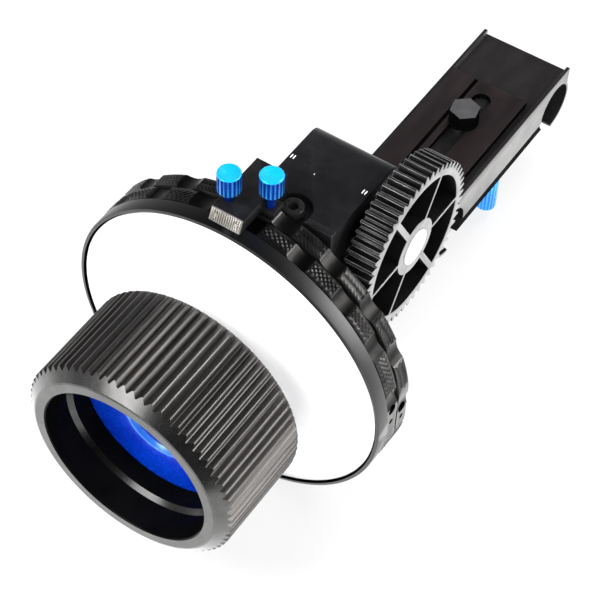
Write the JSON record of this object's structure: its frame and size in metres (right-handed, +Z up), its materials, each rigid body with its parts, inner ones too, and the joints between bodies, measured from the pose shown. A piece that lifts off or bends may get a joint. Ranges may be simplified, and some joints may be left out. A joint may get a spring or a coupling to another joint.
{
  "type": "follow focus unit",
  "caption": "Fluted handwheel with a white marking disc, knurled stop rings and blue thumbscrews turns an offset lens gear through a gearbox on a clamp bridge for two rods.",
  "frame": {"origin": "on the handwheel's axis, in the bezel's front plane, where the marking disc sits", "axes": "+Z up, handwheel faces -Y and turns about Y, rods and drive gear lie along X with the gear on the +X side"},
  "size_m": [0.0922, 0.1984, 0.1054],
  "materials": {
    "black_grip": "black anodised, fluted",
    "blue_anodised": "bright blue anodised",
    "black_steel": "blackened steel",
    "dark_aluminium": "dark grey anodised",
    "white_disc": "matt white, bare",
    "bright_steel": "ground steel",
    "black_plastic": "filled low-friction plastic",
    "gear_brass": "machined brass",
    "ring_aluminium": "black anodised, knurled",
    "black_aluminium": "black anodised, satin",
    "plain_aluminium": "as machined",
    "silver_plate": "silver, finely ridged",
    "brown_aluminium": "black anodised, faded to brown",
    "black_gear": "black moulded gear plastic",
    "silver_cap": "bright silver",
    "pad_plastic": "acetal tip"
  },
  "bodies": {
    "bridge": {"rod_bridge": "black_aluminium", "slide_bolt": "black_steel", "slide_bolt_collar": "bright_steel", "bridge_guide_pin": "bright_steel"},
    "gearbox": {"gearbox_housing": "black_aluminium", "front_cover": "black_aluminium", "cover_screws": "black_steel", "input_bearings": "bright_steel", "layshaft_bearings": "bright_steel", "layshaft_carrier": "plain_aluminium", "output_bearings": "bright_steel", "bearing_cap": "black_aluminium", "top_cap_screw": "black_steel", "stop_block": "black_aluminium", "index_plate": "silver_plate", "index_screws": "black_steel", "block_screw": "black_steel", "block_dowel": "bright_steel", "slide_plate": "brown_aluminium", "slide_plate_screws": "black_steel"},
    "handwheel": {"handwheel_grip": "black_grip", "hub_plate": "blue_anodised", "hub_screws": "black_steel", "wheel_spindle": "dark_aluminium", "spindle_nut": "black_steel", "marking_disc": "white_disc", "disc_bezel": "dark_aluminium", "ring_drum": "dark_aluminium", "ring_retainer": "dark_aluminium", "retainer_screws": "black_steel", "stop_pegs": "bright_steel", "friction_washers": "black_plastic", "input_shaft": "bright_steel", "drive_pin": "bright_steel", "input_gear": "gear_brass"},
    "front_ring": {"stop_ring_front": "ring_aluminium"},
    "rear_ring": {"stop_ring_rear": "ring_aluminium"},
    "layshaft_group": {"layshaft": "bright_steel", "layshaft_pinion": "gear_brass", "layshaft_mitre_gear": "bright_steel"},
    "output_group": {"output_shaft": "bright_steel", "output_mitre_gear": "bright_steel", "drive_gear": "black_gear", "drive_gear_cap": "silver_cap"},
    "front_pad": {"front_thumbscrew_pad": "pad_plastic"},
    "front_stop_screw": {"front_thumbscrew": "blue_anodised"},
    "rear_pad": {"rear_thumbscrew_pad": "pad_plastic"},
    "rear_stop_screw": {"rear_thumbscrew": "blue_anodised"},
    "jaw": {"clamp_jaw": "black_aluminium"},
    "jaw_screw": {"clamp_screw": "blue_anodised", "clamp_screw_clip": "bright_steel"}
  },
  "joints": [
    {"name": "gearbox_slide", "type": "slide", "parent": "bridge", "child": "gearbox", "axis": [0, 1, 0], "range_m": [-0.01, 0.039]},
    {"name": "handwheel_spin", "type": "hinge", "parent": "gearbox", "child": "handwheel", "pos_m": [0, 0, 0], "axis": [0, 1, 0], "continuous": true},
    {"name": "front_ring_turn", "type": "hinge", "parent": "handwheel", "child": "front_ring", "pos_m": [0, 0.006, 0], "axis": [0, 1, 0], "range_deg": [-172, 172]},
    {"name": "rear_ring_turn", "type": "hinge", "parent": "handwheel", "child": "rear_ring", "pos_m": [0, 0.01112, 0], "axis": [0, 1, 0], "range_deg": [-172, 172]},
    {"name": "layshaft_spin", "type": "hinge", "parent": "gearbox", "child": "layshaft_group", "pos_m": [0.00805, 0.024, 0.0243], "axis": [0, 1, 0], "continuous": true},
    {"name": "drive_gear_spin", "type": "hinge", "parent": "gearbox", "child": "output_group", "pos_m": [0.02, 0.0382, 0.0243], "axis": [1, 0, 0], "continuous": true},
    {"name": "front_pad_feed", "type": "slide", "parent": "gearbox", "child": "front_pad", "axis": [0, 0, 1], "range_m": [-0.00045, 0.00135]},
    {"name": "front_thumbscrew_turn", "type": "hinge", "parent": "front_pad", "child": "front_stop_screw", "pos_m": [-0.0036, 0.006, 0.053], "axis": [0, 0, 1], "range_deg": [-360.5, 1081]},
    {"name": "rear_pad_feed", "type": "slide", "parent": "gearbox", "child": "rear_pad", "axis": [0, 0, 1], "range_m": [-0.00045, 0.00045]},
    {"name": "rear_thumbscrew_turn", "type": "hinge", "parent": "rear_pad", "child": "rear_stop_screw", "pos_m": [0.0049, 0.01112, 0.053], "axis": [0, 0, 1], "range_deg": [-360.5, 360.5]},
    {"name": "jaw_travel", "type": "slide", "parent": "bridge", "child": "jaw", "axis": [0, 0, 1], "range_m": [-0.0014, 0]},
    {"name": "clamp_screw_turn", "type": "hinge", "parent": "jaw", "child": "jaw_screw", "pos_m": [0.0125, 0.1163, -0.035], "axis": [0, 0, 1], "range_deg": [-720.5, 0]}
  ],
  "couplings": [
    {"joint": "layshaft_spin", "follows": "handwheel_spin", "ratio": -2.2},
    {"joint": "drive_gear_spin", "follows": "handwheel_spin", "ratio": -2.2},
    {"joint": "front_thumbscrew_turn", "follows": "front_pad_feed", "rad_per_m": 13963},
    {"joint": "rear_thumbscrew_turn", "follows": "rear_pad_feed", "rad_per_m": 13963},
    {"joint": "clamp_screw_turn", "follows": "jaw_travel", "rad_per_m": 8976}
  ]
}
